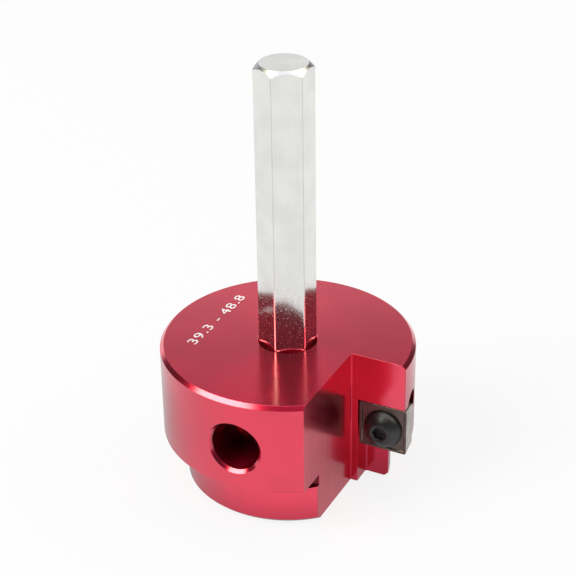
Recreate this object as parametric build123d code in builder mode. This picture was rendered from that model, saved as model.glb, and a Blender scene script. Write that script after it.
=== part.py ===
import os
from math import cos, radians, sin, sqrt, tan

from build123d import *

os.makedirs("parts", exist_ok=True)

# A one-flute reamer that clears a glued pipe stub out of a plastic pipe fitting.
# Millimetres. The origin is the centre of the pilot's bottom face and +Z runs up the shank.
# The insert's cutting face lies in the XZ plane and looks towards -Y.

# Hexagonal shank
shank_across_flats = 9.525
shank_corner_radius = 0.5
shank_length = 75.0
shank_end_chamfer = 0.41
shank_clocking = 2.2

# Turned body: a pilot that enters the pipe, and a head that follows the insert down the socket
head_diameter = 48.0
head_height = 18.2
rim_chamfer = 0.7
pilot_diameter = 39.3
pilot_height = 10.0
pilot_chamfer = 0.8
groove_width = 2.3
groove_depth = 0.6
shoulder_edge_break = 0.15
bore_depth = 20.2
bore_clearance = 0.13
bore_edge_break = 0.15

# Indexable insert: a square with relieved flanks, held by a button-head screw
insert_side = 9.525
insert_thickness = 3.97
insert_relief = 7.0
insert_nose_radius = 0.4
insert_overhang = 0.4
insert_drop = 1.05
insert_hole_clearance = 0.4
chip_groove_depth = 0.2
chip_groove_slope = 40.0

# Pocket that the insert sits in, and the chip notch in front of it
pocket_side_gap = 0.35
pocket_top_gap = 0.12
pocket_corner_radius = 0.4
pocket_relief_radius = 2.4
pocket_relief_offset = 0.2
notch_side_land = 1.4
notch_corner_radius = 0.2

# Insert screw, a little below the insert's centre because the insert is pushed up in its pocket
insert_screw_diameter = 4.0
insert_screw_length = 10.0
insert_screw_drop = 0.3
screw_head_diameter = 7.6
screw_head_height = 2.2
screw_head_rim = 0.35
screw_head_clearance = 0.05
screw_crown_diameter = 3.7
screw_socket_across_flats = 2.5
screw_socket_depth = 1.4
screw_socket_mouth_diameter = 3.2
screw_socket_mouth_depth = 0.2
screw_end_chamfer = 0.4
tapped_hole_spare_depth = 1.5

# Set screw that holds the shank, deep in the hole in the head's side
set_screw_diameter = 8.0
set_screw_length = 8.0
set_screw_point_chamfer = 1.2
set_screw_end_chamfer = 0.6
set_screw_socket_across_flats = 4.0
set_screw_socket_depth = 4.0
set_screw_drop = 9.9
shank_flat_depth = 1.0
shank_flat_length = 9.0
set_screw_recess = 1.0
side_hole_clearance = 0.68
side_hole_chamfer = 0.6
thread_clearance = 0.04

# Milling cuts run this far past the open sides of the body
cut_overrun = 1.0

# Places and radii that follow from the sizes above
head_radius = head_diameter / 2
pilot_radius = pilot_diameter / 2
body_height = pilot_height + head_height
shank_corner_reach = shank_across_flats / sqrt(3) - shank_corner_radius * (2 / sqrt(3) - 1)
bore_radius = shank_corner_reach + bore_clearance
bore_floor = body_height - bore_depth
shank_top = bore_floor + shank_length

screw_head_radius = screw_head_diameter / 2
screw_thread_radius = insert_screw_diameter / 2 - thread_clearance
chip_groove_floor = screw_head_diameter + 2 * (insert_screw_drop + screw_head_clearance)
chip_groove_side = chip_groove_floor + 2 * chip_groove_depth * tan(radians(chip_groove_slope))

cutting_radius = head_radius + insert_overhang
insert_x = cutting_radius - insert_side / 2
insert_z = pilot_height - insert_drop + insert_side / 2
insert_top = insert_z + insert_side / 2
insert_screw_z = insert_z - insert_screw_drop
pocket_wall = cutting_radius - insert_side - pocket_side_gap
pocket_top = insert_top + pocket_top_gap
notch_wall = pocket_wall - notch_side_land
beyond_head = head_radius + cut_overrun

side_hole_z = body_height - set_screw_drop
side_hole_radius = set_screw_diameter / 2 + side_hole_clearance
side_hole_direction = Vector(sin(radians(shank_clocking)), -cos(radians(shank_clocking)), 0)
shank_flat_distance = shank_corner_reach - shank_flat_depth
set_screw_outer_end = shank_flat_distance + set_screw_length
side_hole_depth = head_radius - set_screw_outer_end - set_screw_recess

# The body is turned, then milled from the -Y side: notch, pocket, side hole and tapped hole.
with BuildPart() as body:
    with BuildSketch(Plane.XZ):
        with BuildLine():
            Polyline(
                (0, 0),
                (pilot_radius, 0),
                (pilot_radius, pilot_height - groove_width),
                (pilot_radius - groove_depth, pilot_height - groove_width),
                (pilot_radius - groove_depth, pilot_height),
                (head_radius, pilot_height),
                (head_radius, body_height),
                (0, body_height),
                close=True,
            )
        make_face()
    revolve(axis=Axis.Z)
    turned_edges = body.edges().filter_by(GeomType.CIRCLE).group_by(Axis.Z)
    chamfer(turned_edges[-1], rim_chamfer)
    chamfer(turned_edges[0], pilot_chamfer)
    head_underside = body.faces().filter_by(Plane.XY).sort_by(Axis.Z)[-2]
    chamfer(head_underside.edges().sort_by(SortBy.RADIUS)[-1], shoulder_edge_break)

    # Blind bore for the shank
    with Locations((0, 0, body_height)):
        Hole(bore_radius, depth=bore_depth)
    bore_mouth = body.edges().filter_by(GeomType.CIRCLE).group_by(Axis.Z)[-1].sort_by(SortBy.RADIUS)[0]
    chamfer(bore_mouth, bore_edge_break)

    # Chip notch: one wall carries the insert, the other runs square to it
    with BuildSketch(Plane.XY):
        with Locations((notch_wall, 0)):
            Rectangle(
                beyond_head - notch_wall,
                beyond_head,
                align=(Align.MIN, Align.MAX),
            )
        fillet(vertices().sort_by(Axis.X)[:2].sort_by(Axis.Y)[-1], notch_corner_radius)
    extrude(amount=body_height, mode=Mode.SUBTRACT)

    # Insert pocket, open outwards and downwards
    with BuildSketch(Plane.XY):
        with Locations((pocket_wall, -cut_overrun)):
            Rectangle(
                beyond_head - pocket_wall,
                cut_overrun + insert_thickness,
                align=(Align.MIN, Align.MIN),
            )
        fillet(vertices().sort_by(Axis.X)[:2].sort_by(Axis.Y)[-1], pocket_corner_radius)
    extrude(amount=pocket_top, mode=Mode.SUBTRACT)

    # Round relief along the pocket's top back corner, drilled in from the side
    with BuildSketch(Plane.YZ.offset(pocket_wall)):
        with Locations((insert_thickness + pocket_relief_offset, insert_top - pocket_relief_offset)):
            Circle(pocket_relief_radius)
    extrude(amount=beyond_head - pocket_wall, mode=Mode.SUBTRACT)

    # Tapped hole for the insert screw, square to the seat
    with Locations(Plane(origin=(insert_x, insert_thickness, insert_screw_z), z_dir=(0, -1, 0))):
        Hole(
            insert_screw_diameter / 2,
            depth=chip_groove_depth + insert_screw_length - insert_thickness + tapped_hole_spare_depth,
        )

    # Side hole: a wide mouth, then the tapped hole that reaches the shank
    side_hole_mouth = side_hole_direction * head_radius + Vector(0, 0, side_hole_z)
    with Locations(Plane(origin=side_hole_mouth, z_dir=side_hole_direction)):
        CounterBoreHole(
            radius=set_screw_diameter / 2,
            counter_bore_radius=side_hole_radius,
            counter_bore_depth=side_hole_depth,
            depth=head_radius,
        )
    curved_edges = body.edges().filter_by(GeomType.BSPLINE)
    chamfer(curved_edges.sort_by_distance(side_hole_mouth)[0], side_hole_chamfer)
body.part.label = "body"
export_step(body.part, "parts/body.step")

# The shank is drawn hexagonal bar, turned to a chamfer at both ends.
with BuildPart() as shank:
    with BuildSketch(Plane.XY.offset(bore_floor)):
        RegularPolygon(
            shank_across_flats / 2,
            6,
            major_radius=False,
            rotation=shank_clocking - 90,
        )
        fillet(vertices(), shank_corner_radius)
    extrude(amount=shank_length)

    # The turned envelope rounds the corners off where they meet the end faces
    end_radius = shank_across_flats / 2 - shank_end_chamfer
    corner_drop = shank_corner_reach - end_radius
    with BuildSketch(Plane.XZ):
        with BuildLine():
            Polyline(
                (0, bore_floor),
                (end_radius, bore_floor),
                (shank_corner_reach, bore_floor + corner_drop),
                (shank_corner_reach, shank_top - corner_drop),
                (end_radius, shank_top),
                (0, shank_top),
                close=True,
            )
        make_face()
    revolve(axis=Axis.Z, mode=Mode.INTERSECT)

    # Flat across the corner that faces the side hole, where the set screw bears
    with BuildSketch(
        Plane(
            origin=side_hole_direction * shank_flat_distance + Vector(0, 0, side_hole_z),
            x_dir=side_hole_direction.cross(Vector(0, 0, 1)),
            z_dir=side_hole_direction,
        )
    ):
        Rectangle(shank_across_flats, shank_flat_length)
    extrude(amount=shank_across_flats, mode=Mode.SUBTRACT)
shank.part.label = "shank"
export_step(shank.part, "parts/shank.step")

# The insert is a square prism whose four flanks lean in towards its back face.
insert_face = Plane(origin=(insert_x, 0, insert_z), x_dir=(1, 0, 0), z_dir=(0, 1, 0))
with BuildPart() as cutting_insert:
    with BuildSketch(insert_face):
        RectangleRounded(insert_side, insert_side, insert_nose_radius)
    extrude(amount=insert_thickness, taper=insert_relief)
    with BuildSketch(insert_face):
        Rectangle(chip_groove_side, chip_groove_side)
    extrude(amount=chip_groove_depth, taper=chip_groove_slope, mode=Mode.SUBTRACT)
    with BuildSketch(insert_face):
        Circle(insert_screw_diameter / 2 + insert_hole_clearance)
    extrude(amount=insert_thickness, mode=Mode.SUBTRACT)
cutting_insert.part.label = "cutting_insert"
export_step(cutting_insert.part, "parts/cutting_insert.step")

# The insert screw is turned about an axis along Y. Its head rests on the chip groove's floor.
screw_seat = Plane(origin=(insert_x, chip_groove_depth, insert_screw_z), x_dir=(1, 0, 0), z_dir=(0, 0, 1))
screw_crown = Plane(
    origin=screw_seat.origin + Vector(0, -screw_head_height, 0),
    x_dir=(1, 0, 0),
    z_dir=(0, 1, 0),
)
with BuildPart() as insert_screw:
    with BuildSketch(screw_seat):
        with BuildLine():
            crown_edge = (screw_crown_diameter / 2, -screw_head_height)
            rim_edge = (screw_head_radius, -screw_head_rim)
            Polyline(
                crown_edge,
                (screw_socket_mouth_diameter / 2, -screw_head_height),
                (screw_socket_across_flats / 2, screw_socket_mouth_depth - screw_head_height),
                (0, screw_socket_mouth_depth - screw_head_height),
                (0, insert_screw_length),
                (screw_thread_radius - screw_end_chamfer, insert_screw_length),
                (screw_thread_radius, insert_screw_length - screw_end_chamfer),
                (screw_thread_radius, 0),
                (screw_head_radius, 0),
                rim_edge,
            )
            TangentArc(rim_edge, crown_edge, tangent=(-0.35, -1))
        make_face()
    revolve(axis=Axis(screw_seat.origin, (0, 1, 0)))
    with BuildSketch(screw_crown):
        RegularPolygon(screw_socket_across_flats / 2, 6, major_radius=False)
    extrude(amount=screw_socket_depth, mode=Mode.SUBTRACT)
insert_screw.part.label = "insert_screw"
export_step(insert_screw.part, "parts/insert_screw.step")

# The set screw lies along the side hole, with its flat point on the shank's flat.
set_screw_point = Plane(
    origin=side_hole_direction * shank_flat_distance + Vector(0, 0, side_hole_z),
    z_dir=side_hole_direction,
)
with BuildPart() as set_screw:
    with BuildSketch(set_screw_point):
        Circle(set_screw_diameter / 2 - thread_clearance)
    extrude(amount=set_screw_length)
    screw_ends = set_screw.edges().filter_by(GeomType.CIRCLE).sort_by(Axis.Y)
    chamfer(screw_ends[-1], set_screw_point_chamfer)
    chamfer(screw_ends[0], set_screw_end_chamfer)
    with BuildSketch(set_screw_point.offset(set_screw_length)):
        RegularPolygon(set_screw_socket_across_flats / 2, 6, major_radius=False)
    extrude(amount=-set_screw_socket_depth, mode=Mode.SUBTRACT)
set_screw.part.label = "set_screw"
export_step(set_screw.part, "parts/set_screw.step")
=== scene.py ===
import math

import bpy
from mathutils import Matrix


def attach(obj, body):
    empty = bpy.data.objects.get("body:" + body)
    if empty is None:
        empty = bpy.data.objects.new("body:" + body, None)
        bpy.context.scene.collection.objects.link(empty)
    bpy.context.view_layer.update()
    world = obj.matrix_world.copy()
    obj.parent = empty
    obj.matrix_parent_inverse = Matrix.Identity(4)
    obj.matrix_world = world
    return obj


# A pipe fitting reamer: red anodised body, plated hexagonal shank, one carbide insert and black screws

MM = 0.001

# Camera, as turned from the -Y side towards +X
CAMERA_AZIMUTH = 27.05
CAMERA_PITCH = 28.91
CAMERA_ROLL = -0.84
CAMERA_DISTANCE = 258.0 * MM
CAMERA_HEIGHT = 181.4 * MM
CAMERA_SIDEWAYS = 0.17 * MM
CAMERA_LENS = 100.0
CAMERA_SENSOR = 36.0

# Colours
ANODISED_RED = (0.77, 0.008, 0.061, 1)
# Painted edge highlight: a lighter red on sharp edges that are in sight
RED_EDGE_HIGHLIGHT = (0.80, 0.06, 0.11, 1)
PLATED_STEEL = (0.78, 0.78, 0.755, 1)
PLATED_CORNER = (0.61, 0.61, 0.62, 1)
PLATED_CHAMFER = (0.36, 0.36, 0.40, 1)
PLATED_CUT_END = (0.62, 0.62, 0.61, 1)
CARBIDE_FACE = (0.135, 0.098, 0.09, 1)
CARBIDE_FLANK = (0.62, 0.57, 0.53, 1)
CARBIDE_EDGE = (0.28, 0.25, 0.24, 1)
BLACK_OXIDE = (0.014, 0.014, 0.015, 1)
# Painted edge highlight on the black screws' sharp edges
OXIDE_EDGE_HIGHLIGHT = (0.16, 0.16, 0.16, 1)
MARKING_WHITE = (0.88, 0.87, 0.86, 1)
MARKING_THIN = (0.75, 0.35, 0.38, 1)
PAPER = (0.9, 0.9, 0.9, 1)

# Painted light and shade on the red, as a share of its usual brightness: painted shade in the side hole and
# on the sheltered undersides and groove, painted light on the top face and the pilot
RED_PAINTED_LIGHT_SHARES = {"side_hole": 0.55, "top": 1.12, "pilot": 1.07, "sheltered": 0.15}

# Strength of the clear coat where it isn't full
MILLED_COAT = 0.5
SHELTERED_COAT = 0.2

# Roughness, before fine variation. The side hole's is a share of the way from turned to bored.
TURNED_ROUGHNESS = 0.235
MILLED_ROUGHNESS = 0.22
BACK_WALL_ROUGHNESS = 0.14
BORED_ROUGHNESS = 0.55
SIDE_HOLE_ROUGH_SHARE = 0.6
PLATED_ROUGHNESS = 0.10
PLATED_END_ROUGHNESS = 0.32
PIT_ROUGHNESS = 0.17
CARBIDE_ROUGHNESS = 0.22
OXIDE_ROUGHNESS = 0.30
INK_ROUGHNESS = 0.5

# Places on the body that the finishes and the painted light and shade follow, in millimetres, as in the
# imported model.
# The back wall is the notch's wall that the insert is let into; its outer part, along X, is kept brighter
# as painted light.
NOTCH_SIDE_WALL = 13.125
BACK_WALL_BRIGHT_FROM = 18.5
BACK_WALL_BRIGHT_TO = 21.5
POCKET_DEPTH = 3.97
HEAD_RADIUS = 24.0
HEAD_BOTTOM = 10.0
GROOVE_RADIUS = 19.05
GROOVE_BOTTOM = 7.7
PILOT_SHARE_FROM = 7.5
PILOT_SHARE_FULL = 6.5
BODY_TOP = 28.2
BORE_RADIUS = 5.6
SIDE_HOLE_CENTRE = (0.7, 0.0, 18.3)
SIDE_HOLE_RADIUS = 4.75

# How far one flat of the hexagonal shank is turned from the X axis, in degrees
SHANK_TURN = 2.2

# Marking on the head's top face: the diameters of the pilot and of the cutting circle
MARKING_TEXT = "39.3 - 48.8"
MARKING_SPACING = 1.12
MARKING_CAP_HEIGHT = 2.0
MARKING_LENGTH = 20.0
MARKING_PLACE = (-14.5, 0.5)
MARKING_THICKNESS = 0.02

# Where the lamps hang: turned from the camera's side and up from the floor, in degrees,
# and how far from the object, in metres
ON_LEFT = (-67.0, 43.0)
ON_RIGHT = (88.0, 48.0)
OVERHEAD = (180.0, 81.0)
LAMP_DISTANCE = 0.9

# Softboxes: their place, half their width and height and their soft edges as tangents, brightness and cloth
WARM_CLOTH = (1.0, 0.96, 0.70)
WHITE_CLOTH = (1.0, 1.0, 1.0)
SOFTBOXES = {
    "left_softbox": (ON_LEFT, 0.44, 0.30, 0.16, 0.14, 9.5, WARM_CLOTH),
    "right_softbox": (ON_RIGHT, 0.40, 0.28, 0.16, 0.14, 10.0, WARM_CLOTH),
    "ceiling_softbox": (OVERHEAD, 0.60, 0.73, 0.20, 0.15, 3.3, WHITE_CLOTH),
}

# Lamps for matt surfaces: their place and watts
MATT_LAMPS = {"key_light": (ON_LEFT, 5.0), "fill_light": (ON_RIGHT, 3.0)}
MATT_LAMP_SIZE = 0.5

# Room: its light on matt surfaces, and what the metal reflects. The backdrop is placed as the lamps are.
ROOM_FOR_MATT = 0.6
UNLIT_ROOM = 0.07
BACKDROP_PLACE = (190.0, 6.5)
BACKDROP_HALF_WIDTH = 0.80
BACKDROP_HALF_HEIGHT = 0.60
BACKDROP_SIDE_BLUR = 0.20
BACKDROP_TOP_BLUR = 0.40
BACKDROP_BRIGHTNESS = 1.20

# Floor: its size in metres, and its brightness to the camera and in the metal.
# In the metal it is darker in the object's shade and under it, within radii in millimetres.
FLOOR_SIZE = 6.0
FLOOR_OWN_LIGHT = 0.84
FLOOR_IN_METAL = 0.98
SHADE_RADIUS = 85.0
SHADE_FULL_RADIUS = 30.0
SHADE_DEPTH = 0.45
UNDER_RADIUS = 30.0
UNDER_FULL_RADIUS = 18.0
UNDER_SHARE = 0.61


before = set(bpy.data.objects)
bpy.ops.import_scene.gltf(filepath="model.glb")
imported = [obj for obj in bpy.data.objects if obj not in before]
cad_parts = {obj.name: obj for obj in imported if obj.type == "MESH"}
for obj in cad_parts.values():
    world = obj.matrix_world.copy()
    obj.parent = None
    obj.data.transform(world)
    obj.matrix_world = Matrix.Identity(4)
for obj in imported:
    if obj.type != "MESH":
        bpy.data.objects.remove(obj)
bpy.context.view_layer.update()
bpy.ops.object.select_all(action="DESELECT")


# Short ways to write shader nodes
def add(tree, kind, **settings):
    node = tree.nodes.new(kind)
    for name, setting in settings.items():
        setattr(node, name, setting)
    return node


def feed(tree, socket, source):
    """Puts a number, a colour or another node's output into a socket."""
    if isinstance(source, bpy.types.NodeSocket):
        tree.links.new(source, socket)
    else:
        socket.default_value = source


def calculate(tree, operation, *sources):
    node = add(tree, "ShaderNodeMath", operation=operation)
    for socket, source in zip(node.inputs, sources):
        feed(tree, socket, source)
    return node.outputs[0]


def product(tree, first, *others):
    """All the sources multiplied. With masks, it is 1 where they all are."""
    result = first
    for source in others:
        result = calculate(tree, "MULTIPLY", result, source)
    return result


def vector(tree, operation, *sources, scale=None):
    node = add(tree, "ShaderNodeVectorMath", operation=operation)
    for socket, source in zip(node.inputs, sources):
        feed(tree, socket, source)
    if scale is not None:
        feed(tree, node.inputs["Scale"], scale)
    return node.outputs["Value" if operation in ("LENGTH", "DOT_PRODUCT") else "Vector"]


def combine(tree, x, y, z):
    node = add(tree, "ShaderNodeCombineXYZ")
    for socket, source in zip(node.inputs, (x, y, z)):
        feed(tree, socket, source)
    return node.outputs[0]


def split(tree, source):
    """The X, Y and Z of a vector."""
    node = add(tree, "ShaderNodeSeparateXYZ")
    feed(tree, node.inputs[0], source)
    return node.outputs


def ramp(tree, source, low, high, to_low=0.0, to_high=1.0):
    """A smooth step of the source from low to high."""
    node = add(tree, "ShaderNodeMapRange", interpolation_type="SMOOTHSTEP")
    for socket, setting in zip(node.inputs, (source, low, high, to_low, to_high)):
        feed(tree, socket, setting)
    return node.outputs["Result"]


def uneven(tree, pattern, dark, light):
    """A share from dark to light that follows a noise pattern."""
    return ramp(tree, pattern, 0.3, 0.7, dark, light)


def blend(tree, amount, first, second, kind="FLOAT"):
    """The first source where the amount is 0, and the second where it is 1."""
    node = add(tree, "ShaderNodeMix", data_type=kind)
    sockets = [s for s in node.inputs if s.enabled and s.name in ("A", "B")]
    feed(tree, node.inputs["Factor"], amount)
    feed(tree, sockets[0], first)
    feed(tree, sockets[1], second)
    return [s for s in node.outputs if s.enabled][0]


def noise(tree, place, scale, detail):
    node = add(tree, "ShaderNodeTexNoise")
    feed(tree, node.inputs["Vector"], place)
    feed(tree, node.inputs["Scale"], scale)
    feed(tree, node.inputs["Detail"], detail)
    return node.outputs["Fac"]


def bump(tree, height, depth, normal):
    node = add(tree, "ShaderNodeBump")
    feed(tree, node.inputs["Distance"], depth)
    feed(tree, node.inputs["Height"], height)
    feed(tree, node.inputs["Normal"], normal)
    return node.outputs["Normal"]


def place_in_mm(tree):
    """Object coordinates in millimetres."""
    coordinates = add(tree, "ShaderNodeTexCoord").outputs["Object"]
    return vector(tree, "SCALE", coordinates, scale=1 / MM)


def surface_normal(tree):
    """The surface's normal in the object's frame."""
    return add(tree, "ShaderNodeTexCoord").outputs["Normal"]


def new_group(name, inputs, outputs):
    """A node group with named inputs and outputs, each with its kind."""
    group = bpy.data.node_groups.new(name, "ShaderNodeTree")
    for side, labels in (("INPUT", inputs), ("OUTPUT", outputs)):
        for label, kind in labels.items():
            group.interface.new_socket(name=label, in_out=side, socket_type=kind)
    return group, add(group, "NodeGroupInput").outputs, add(group, "NodeGroupOutput").inputs


def use(tree, group, **sources):
    node = add(tree, "ShaderNodeGroup", node_tree=group)
    for name, source in sources.items():
        feed(tree, node.inputs[name], source)
    return node.outputs


def new_material(name, **settings):
    """A material with a Principled BSDF. Returns the material, its node tree and the shader."""
    material = bpy.data.materials.new(name)
    material.use_nodes = True
    tree = material.node_tree
    shader = tree.nodes["Principled BSDF"]
    for socket, setting in settings.items():
        shader.inputs[socket.replace("_", " ")].default_value = setting
    return material, tree, shader


def finish_surface(tree, shader, colour, shade, roughness, normal):
    feed(tree, shader.inputs["Base Color"], vector(tree, "SCALE", colour, scale=shade))
    feed(tree, shader.inputs["Roughness"], roughness)
    feed(tree, shader.inputs["Normal"], normal)


# Shared surface effects
def broken_edges():
    """Rounds sharp edges in the shading, and gives a mask of where they are."""
    group, given, out = new_group(
        "broken_edges",
        {"Radius": "NodeSocketFloat"},
        {"Edge": "NodeSocketFloat", "Normal": "NodeSocketVector"},
    )
    bevel = add(group, "ShaderNodeBevel", samples=6)
    feed(group, bevel.inputs["Radius"], given["Radius"])
    flat = add(group, "ShaderNodeNewGeometry").outputs["Normal"]
    turned = vector(group, "DOT_PRODUCT", bevel.outputs["Normal"], flat)
    feed(group, out["Edge"], ramp(group, turned, 0.995, 0.93))
    feed(group, out["Normal"], bevel.outputs["Normal"])
    return group


def machined_lines():
    """Fine grooves: rings about the Z axis where Milled is 0, and upright lines where it is 1."""
    group, given, out = new_group(
        "machined_lines",
        {"Place": "NodeSocketVector", "Pitch": "NodeSocketFloat", "Milled": "NodeSocketFloat"},
        {"Height": "NodeSocketFloat"},
    )
    x, y, z = split(group, given["Place"])
    level = combine(group, x, y, 0.0)
    radius = vector(group, "LENGTH", level)
    frequency = calculate(group, "DIVIDE", 1.0, given["Pitch"])
    rings = noise(group, combine(group, radius, z, 0.0), frequency, 1.0)
    upright = noise(group, level, frequency, 1.0)
    feed(group, out["Height"], blend(group, given["Milled"], rings, upright))
    return group


def mottle():
    """Uneven patches, as plating, anodising or oxide leaves them: a broad one and a fine one."""
    group, given, out = new_group(
        "mottle",
        {"Place": "NodeSocketVector", "Broad": "NodeSocketFloat", "Fine": "NodeSocketFloat"},
        {"Broad": "NodeSocketFloat", "Fine": "NodeSocketFloat"},
    )
    for label, detail in (("Broad", 2.0), ("Fine", 3.0)):
        frequency = calculate(group, "DIVIDE", 1.0, given[label])
        feed(group, out[label], noise(group, given["Place"], frequency, detail))
    return group


BROKEN_EDGES = broken_edges()
MACHINED_LINES = machined_lines()
MOTTLE = mottle()


# Materials
def body_regions(tree, place, normal):
    """Masks of the body's regions, each 1 inside and 0 outside, with the side hole only partly bored.

    Each limit leaves a little room for the faces that lie on it.
    """
    x, y, z = split(tree, place)
    facing_y, facing_z = split(tree, normal)[1:]
    radius = vector(tree, "LENGTH", combine(tree, x, y, 0.0))
    from_hole = vector(tree, "SUBTRACT", combine(tree, x, 0.0, z), SIDE_HOLE_CENTRE)
    hole_distance = vector(tree, "LENGTH", from_hole)

    def below(source, limit):
        return calculate(tree, "LESS_THAN", source, limit)

    def above(source, limit):
        return calculate(tree, "GREATER_THAN", source, limit)

    milled = product(
        tree,
        above(x, NOTCH_SIDE_WALL - 0.06),
        below(y, POCKET_DEPTH + 0.08),
        below(radius, HEAD_RADIUS - 0.05),
        below(calculate(tree, "ABSOLUTE", facing_z), 0.5),
    )
    turned = calculate(tree, "SUBTRACT", 1.0, milled)
    bore = product(tree, below(z, BODY_TOP - 0.02), below(radius, BORE_RADIUS))
    side_hole = product(tree, below(hole_distance, SIDE_HOLE_RADIUS), below(y, 0.0))
    groove = product(
        tree,
        turned,
        below(radius, GROOVE_RADIUS + 0.1),
        above(z, GROOVE_BOTTOM - 0.02),
        below(z, HEAD_BOTTOM + 0.02),
    )
    underside = ramp(tree, facing_z, -0.3, -0.6)
    return {
        "milled": milled,
        "back_wall": ramp(tree, facing_y, -0.5, -0.9),
        "back_wall_bright": ramp(tree, x, BACK_WALL_BRIGHT_FROM, BACK_WALL_BRIGHT_TO),
        "bored": calculate(tree, "MULTIPLY_ADD", side_hole, SIDE_HOLE_ROUGH_SHARE, bore),
        "side_hole": side_hole,
        "top": ramp(tree, facing_z, 0.9, 0.98),
        "pilot": product(tree, turned, ramp(tree, z, PILOT_SHARE_FROM, PILOT_SHARE_FULL)),
        "underside": underside,
        "sheltered": calculate(tree, "MAXIMUM", underside, groove),
    }


def anodised_red():
    """Dyed clear oxide on aluminium. The notch is milled, and the rest is turned. Painted shade darkens the
    side hole, the undersides and the groove; painted light brightens the top face, the pilot and the back
    wall's outer part; sharp edges get a painted highlight.
    """
    material, tree, shader = new_material(
        "anodised_red", Metallic=1.0, Coat_IOR=1.7, Coat_Roughness=0.14, Anisotropic=0.35
    )
    place = place_in_mm(tree)
    normal = surface_normal(tree)
    region = body_regions(tree, place, normal)
    lines = use(tree, MACHINED_LINES, Place=place, Pitch=0.22, Milled=region["milled"])["Height"]
    patches = use(tree, MOTTLE, Place=place, Broad=9.0, Fine=0.7)
    edges = use(tree, BROKEN_EDGES, Radius=0.05 * MM)

    # The highlights spread across the grooves
    x, y = split(tree, place)[:2]
    turning = combine(tree, calculate(tree, "MULTIPLY", y, -1.0), x, 0.0)
    grooves = blend(tree, region["milled"], turning, (0, 0, 1), "VECTOR")
    across = vector(tree, "CROSS_PRODUCT", normal, grooves)
    feed(tree, shader.inputs["Tangent"], vector(tree, "NORMALIZE", across))

    # The cutter's marks darken the milled walls; the outer part of the back wall is left out and kept
    # brighter, as painted light
    marks = blend(tree, region["back_wall_bright"], uneven(tree, lines, 0.76, 0.94), 1.0)
    # Painted shade in the side hole and in sheltered places, painted light on the top face and the pilot
    shade = product(
        tree,
        uneven(tree, patches["Broad"], 0.94, 1.04),
        blend(tree, region["milled"], 1.0, marks),
        *[blend(tree, region[name], 1.0, share) for name, share in RED_PAINTED_LIGHT_SHARES.items()],
    )
    # Painted edge highlight: the red is lighter along sharp edges, except on undersides
    in_sight = calculate(tree, "SUBTRACT", 1.0, region["underside"])
    edge_highlight = product(tree, edges["Edge"], in_sight)
    colour = blend(tree, edge_highlight, ANODISED_RED, RED_EDGE_HIGHLIGHT, "RGBA")

    milled_coat = blend(tree, region["back_wall_bright"], MILLED_COAT, 1.0)
    coat = product(
        tree,
        blend(tree, region["milled"], 1.0, milled_coat),
        blend(tree, region["sheltered"], 1.0, SHELTERED_COAT),
    )
    feed(tree, shader.inputs["Coat Weight"], coat)

    roughness = blend(tree, region["back_wall"], MILLED_ROUGHNESS, BACK_WALL_ROUGHNESS)
    roughness = blend(tree, region["milled"], TURNED_ROUGHNESS, roughness)
    roughness = blend(tree, region["bored"], roughness, BORED_ROUGHNESS)
    roughness = calculate(tree, "MULTIPLY_ADD", patches["Fine"], 0.03, roughness)
    surface = bump(tree, lines, 0.0012 * MM, edges["Normal"])
    feed(tree, shader.inputs["Coat Normal"], surface)
    finish_surface(tree, shader, colour, shade, roughness, surface)
    return material


def corner_mask(tree, normal):
    """The rounded corners of the hexagonal shank, told by where they face."""
    nearest = 0.0
    for flat in range(3):
        turn = math.radians(SHANK_TURN + 60 * flat)
        facing = vector(tree, "DOT_PRODUCT", normal, (math.cos(turn), math.sin(turn), 0))
        nearest = calculate(tree, "MAXIMUM", nearest, calculate(tree, "ABSOLUTE", facing))
    return ramp(tree, nearest, 0.97, 0.90)


def plated_steel():
    """Bright plating over drawn hexagonal bar: faint draw lines and fine matt pits."""
    material, tree, shader = new_material("plated_steel", Metallic=1.0, Anisotropic=0.2)
    place = place_in_mm(tree)
    normal = surface_normal(tree)
    patches = use(tree, MOTTLE, Place=place, Broad=5.0, Fine=0.30)
    edges = use(tree, BROKEN_EDGES, Radius=0.03 * MM)
    drawn = noise(tree, vector(tree, "MULTIPLY", place, (1.0, 1.0, 0.02)), 4.0, 3.0)

    facing_z = split(tree, normal)["Z"]
    turned_end = ramp(tree, facing_z, 0.2, 0.4)
    cut_end = ramp(tree, facing_z, 0.9, 0.98)
    corner = blend(tree, turned_end, corner_mask(tree, normal), 0.0)
    pits = blend(tree, turned_end, ramp(tree, patches["Fine"], 0.57, 0.68), 0.0)

    colour = blend(tree, corner, PLATED_STEEL, PLATED_CORNER, "RGBA")
    colour = blend(tree, turned_end, colour, PLATED_CHAMFER, "RGBA")
    colour = blend(tree, cut_end, colour, PLATED_CUT_END, "RGBA")
    draw_lines = ramp(tree, drawn, 0.35, 0.65, 0.985, 1.01)
    shade = product(tree, uneven(tree, patches["Broad"], 0.95, 1.03), draw_lines)
    roughness = blend(tree, turned_end, PLATED_ROUGHNESS, PLATED_END_ROUGHNESS)
    roughness = calculate(tree, "MULTIPLY_ADD", drawn, 0.08, roughness)
    roughness = calculate(tree, "MULTIPLY_ADD", pits, PIT_ROUGHNESS, roughness)
    pitted = bump(tree, pits, 0.002 * MM, edges["Normal"])
    finish_surface(tree, shader, colour, shade, roughness, bump(tree, drawn, 0.0025 * MM, pitted))
    return material


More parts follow.
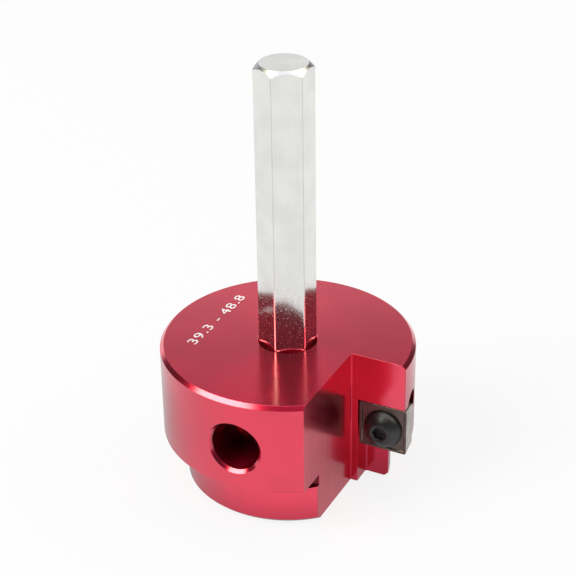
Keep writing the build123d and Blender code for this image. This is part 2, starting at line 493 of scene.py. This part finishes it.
def carbide():
    """Sintered carbide: a dark, brushed top face and lighter ground flanks."""
    material, tree, shader = new_material("carbide", Metallic=1.0)
    place = place_in_mm(tree)
    patches = use(tree, MOTTLE, Place=place, Broad=2.5, Fine=0.25)
    edges = use(tree, BROKEN_EDGES, Radius=0.06 * MM)
    grinding = noise(tree, vector(tree, "MULTIPLY", place, (0.15, 1.0, 4.0)), 3.0, 2.0)
    flank = ramp(tree, split(tree, surface_normal(tree))["Y"], -0.5, -0.2)
    colour = blend(tree, flank, CARBIDE_FACE, CARBIDE_FLANK, "RGBA")
    colour = blend(tree, edges["Edge"], colour, CARBIDE_EDGE, "RGBA")
    shade = uneven(tree, patches["Broad"], 0.8, 1.15)
    roughness = calculate(tree, "MULTIPLY_ADD", grinding, 0.15, CARBIDE_ROUGHNESS)
    grained = bump(tree, patches["Fine"], 0.004 * MM, edges["Normal"])
    finish_surface(tree, shader, colour, shade, roughness, bump(tree, grinding, 0.002 * MM, grained))
    return material


def black_oxide(name):
    """Oiled black oxide on steel, lighter at its edges as a painted edge highlight."""
    material, tree, shader = new_material(name, Specular_IOR_Level=0.5)
    patches = use(tree, MOTTLE, Place=place_in_mm(tree), Broad=2.0, Fine=0.3)
    edges = use(tree, BROKEN_EDGES, Radius=0.10 * MM)
    # Painted edge highlight: a lighter colour along sharp edges
    colour = blend(tree, edges["Edge"], BLACK_OXIDE, OXIDE_EDGE_HIGHLIGHT, "RGBA")
    shade = uneven(tree, patches["Broad"], 0.75, 1.3)
    roughness = calculate(tree, "MULTIPLY_ADD", patches["Fine"], 0.15, OXIDE_ROUGHNESS)
    grained = bump(tree, patches["Fine"], 0.006 * MM, edges["Normal"])
    finish_surface(tree, shader, colour, shade, roughness, grained)
    return material


def marking_ink():
    """White printed ink, slightly thin in places."""
    material, tree, shader = new_material("marking_ink", Roughness=INK_ROUGHNESS)
    patches = use(tree, MOTTLE, Place=place_in_mm(tree), Broad=1.5, Fine=0.2)
    thin = ramp(tree, patches["Fine"], 0.72, 0.80, 0.0, 0.4)
    feed(tree, shader.inputs["Base Color"], blend(tree, thin, MARKING_WHITE, MARKING_THIN, "RGBA"))
    return material


def dress(node, material):
    """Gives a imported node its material, in its own slots."""
    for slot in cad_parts[node].material_slots:
        slot.material = material


dress("body", anodised_red())
dress("shank", plated_steel())
dress("cutting_insert", carbide())
dress("insert_screw", black_oxide("black_oxide_insert_screw"))
dress("set_screw", black_oxide("black_oxide_set_screw"))


# Marking, read from the side away from the notch
def head_marking():
    bpy.ops.object.text_add()
    marking = bpy.context.object
    marking.name = "head_marking"
    text = marking.data
    text.body = MARKING_TEXT
    text.align_x = "CENTER"
    text.align_y = "BOTTOM_BASELINE"
    text.extrude = MARKING_THICKNESS / 2
    text.space_character = MARKING_SPACING
    text.resolution_u = 6
    bpy.context.view_layer.update()
    bpy.ops.object.convert(target="MESH")
    marking = bpy.context.object
    low = [min(v.co[k] for v in marking.data.vertices) for k in range(2)]
    high = [max(v.co[k] for v in marking.data.vertices) for k in range(2)]
    across = MARKING_LENGTH / (high[0] - low[0])
    tall = MARKING_CAP_HEIGHT / (high[1] - low[1])
    size = Matrix.Diagonal((across * MM, tall * MM, MM, 1))
    turn = Matrix.Rotation(math.radians(90), 4, "Z")
    seat = (MARKING_PLACE[0] * MM, MARKING_PLACE[1] * MM, (BODY_TOP + MARKING_THICKNESS / 2) * MM)
    marking.data.transform(Matrix.Translation(seat) @ turn @ size)
    marking.data.materials.clear()
    marking.data.materials.append(marking_ink())
    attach(marking, "root")


head_marking()


# Studio
def backdrop_mask(tree, direction):
    """How far a direction lies inside the backdrop, from 0 to 1."""
    azimuth, elevation = BACKDROP_PLACE
    around = add(tree, "ShaderNodeVectorRotate", rotation_type="Z_AXIS")
    feed(tree, around.inputs["Vector"], direction)
    feed(tree, around.inputs["Angle"], -math.radians(azimuth + CAMERA_AZIMUTH))
    tilt = add(tree, "ShaderNodeVectorRotate", rotation_type="X_AXIS")
    feed(tree, tilt.inputs["Vector"], around.outputs[0])
    feed(tree, tilt.inputs["Angle"], math.radians(elevation))
    x, y, z = split(tree, tilt.outputs[0])
    ahead = calculate(tree, "MULTIPLY", y, -1.0)
    mask = calculate(tree, "GREATER_THAN", ahead, 0.01)
    for axis, half, blur in (
        (x, BACKDROP_HALF_WIDTH, BACKDROP_SIDE_BLUR),
        (z, BACKDROP_HALF_HEIGHT, BACKDROP_TOP_BLUR),
    ):
        off = calculate(tree, "ABSOLUTE", calculate(tree, "DIVIDE", axis, ahead))
        mask = product(tree, mask, ramp(tree, off, half, half - blur))
    return mask


def studio_world():
    """White for the camera, even light for matt surfaces, and a dim room with a backdrop for the metal."""
    world = bpy.data.worlds.new("studio")
    bpy.context.scene.world = world
    world.use_nodes = True
    world.cycles.sampling_method = "NONE"
    tree = world.node_tree
    direction = add(tree, "ShaderNodeTexCoord").outputs["Generated"]
    backdrop = product(tree, backdrop_mask(tree, direction), BACKDROP_BRIGHTNESS)
    reflected = calculate(tree, "MAXIMUM", UNLIT_ROOM, backdrop)
    rays = add(tree, "ShaderNodeLightPath").outputs
    strength = blend(tree, rays["Is Glossy Ray"], ROOM_FOR_MATT, reflected)
    strength = blend(tree, rays["Is Camera Ray"], strength, 1.0)
    background = tree.nodes["Background"]
    feed(tree, background.inputs["Color"], (1, 1, 1, 1))
    feed(tree, background.inputs["Strength"], strength)


def floor_in_metal(tree):
    """How bright the metal sees the floor: dimmer under the object, and where the object shades it."""
    place = place_in_mm(tree)
    radius = vector(tree, "LENGTH", place)
    turn = math.radians(CAMERA_AZIMUTH)
    to_camera = (math.sin(turn), -math.cos(turn), 0)
    towards = vector(tree, "DOT_PRODUCT", vector(tree, "NORMALIZE", place), to_camera)
    behind = ramp(tree, towards, 0.95, -0.35)
    shaded = product(tree, ramp(tree, radius, SHADE_RADIUS, SHADE_FULL_RADIUS), behind)
    lit = calculate(tree, "MULTIPLY_ADD", shaded, -SHADE_DEPTH, FLOOR_IN_METAL)
    return product(tree, lit, ramp(tree, radius, UNDER_RADIUS, UNDER_FULL_RADIUS, 1.0, UNDER_SHARE))


def studio_floor():
    """White paper that takes the object's shadow, with light of its own for the camera and the metal."""
    bpy.ops.mesh.primitive_plane_add(size=FLOOR_SIZE, location=(0, 0, 0))
    floor = bpy.context.object
    floor.name = "floor"
    material = bpy.data.materials.new("studio_floor")
    material.cycles.emission_sampling = "NONE"
    material.use_nodes = True
    tree = material.node_tree
    tree.nodes.clear()
    matt = add(tree, "ShaderNodeBsdfDiffuse")
    matt.inputs["Color"].default_value = PAPER
    white = add(tree, "ShaderNodeEmission")
    in_metal = add(tree, "ShaderNodeEmission")
    feed(tree, in_metal.inputs["Strength"], floor_in_metal(tree))
    rays = add(tree, "ShaderNodeLightPath").outputs
    own_light = product(tree, rays["Is Camera Ray"], FLOOR_OWN_LIGHT)
    surface = matt
    for share, light in ((own_light, white), (rays["Is Glossy Ray"], in_metal)):
        mix = add(tree, "ShaderNodeMixShader")
        feed(tree, mix.inputs[0], share)
        feed(tree, mix.inputs[1], surface.outputs[0])
        feed(tree, mix.inputs[2], light.outputs[0])
        surface = mix
    feed(tree, add(tree, "ShaderNodeOutputMaterial").inputs["Surface"], surface.outputs[0])
    floor.data.materials.append(material)


def hang_lamp(name, lamp_place, width, height, watts):
    """An area lamp that faces the object and that the camera doesn't see."""
    azimuth, elevation = lamp_place
    turn, tilt = math.radians(azimuth + CAMERA_AZIMUTH), math.radians(elevation)
    direction = (math.sin(turn) * math.cos(tilt), -math.cos(turn) * math.cos(tilt), math.sin(tilt))
    bpy.ops.object.light_add(type="AREA", location=[LAMP_DISTANCE * c for c in direction])
    lamp = bpy.context.object
    lamp.name = name
    lamp.rotation_euler = (math.pi / 2 - tilt, 0, turn)
    lamp.data.shape = "RECTANGLE"
    lamp.data.size = width
    lamp.data.size_y = height
    lamp.data.energy = watts
    lamp.visible_camera = False
    return lamp


def hang_softbox(name, lamp_place, half_width, half_height, side_blur, top_blur, brightness, cloth):
    """A softbox that only the gloss sees. Its cloth is brightest in the middle."""
    width = 2 * half_width * LAMP_DISTANCE
    height = 2 * half_height * LAMP_DISTANCE
    lamp = hang_lamp(name, lamp_place, width, height, brightness * math.pi * width * height)
    lamp.visible_diffuse = False
    lamp.data.color = cloth
    lamp.data.use_nodes = True
    tree = lamp.data.node_tree
    on_cloth = split(tree, add(tree, "ShaderNodeNewGeometry").outputs["Parametric"])
    strength = 1.0
    for axis, edge in (("X", side_blur / half_width), ("Y", top_blur / half_height)):
        off = calculate(tree, "MULTIPLY_ADD", on_cloth[axis], 2.0, -1.0)
        off = calculate(tree, "ABSOLUTE", off)
        strength = product(tree, strength, ramp(tree, off, 1.0, 1.0 - edge))
    feed(tree, tree.nodes["Emission"].inputs["Strength"], strength)


def hang_matt_lamp(name, lamp_place, watts):
    """A lamp that only matt surfaces see."""
    lamp = hang_lamp(name, lamp_place, MATT_LAMP_SIZE, MATT_LAMP_SIZE, watts)
    lamp.visible_glossy = False


def studio_camera():
    data = bpy.data.cameras.new("camera")
    data.lens = CAMERA_LENS
    data.sensor_width = CAMERA_SENSOR
    data.clip_start = 0.01
    camera = bpy.data.objects.new("camera", data)
    bpy.context.scene.collection.objects.link(camera)
    azimuth = Matrix.Rotation(math.radians(CAMERA_AZIMUTH), 4, "Z")
    place = Matrix.Translation((CAMERA_SIDEWAYS, -CAMERA_DISTANCE, CAMERA_HEIGHT))
    pitch = Matrix.Rotation(math.radians(90 - CAMERA_PITCH), 4, "X")
    roll = Matrix.Rotation(math.radians(CAMERA_ROLL), 4, "Z")
    camera.matrix_world = azimuth @ place @ pitch @ roll
    bpy.context.scene.camera = camera


studio_world()
studio_floor()
for softbox_name, softbox_values in SOFTBOXES.items():
    hang_softbox(softbox_name, *softbox_values)
for lamp_name, lamp_values in MATT_LAMPS.items():
    hang_matt_lamp(lamp_name, *lamp_values)
studio_camera()

bpy.context.scene.view_settings.view_transform = "Standard"
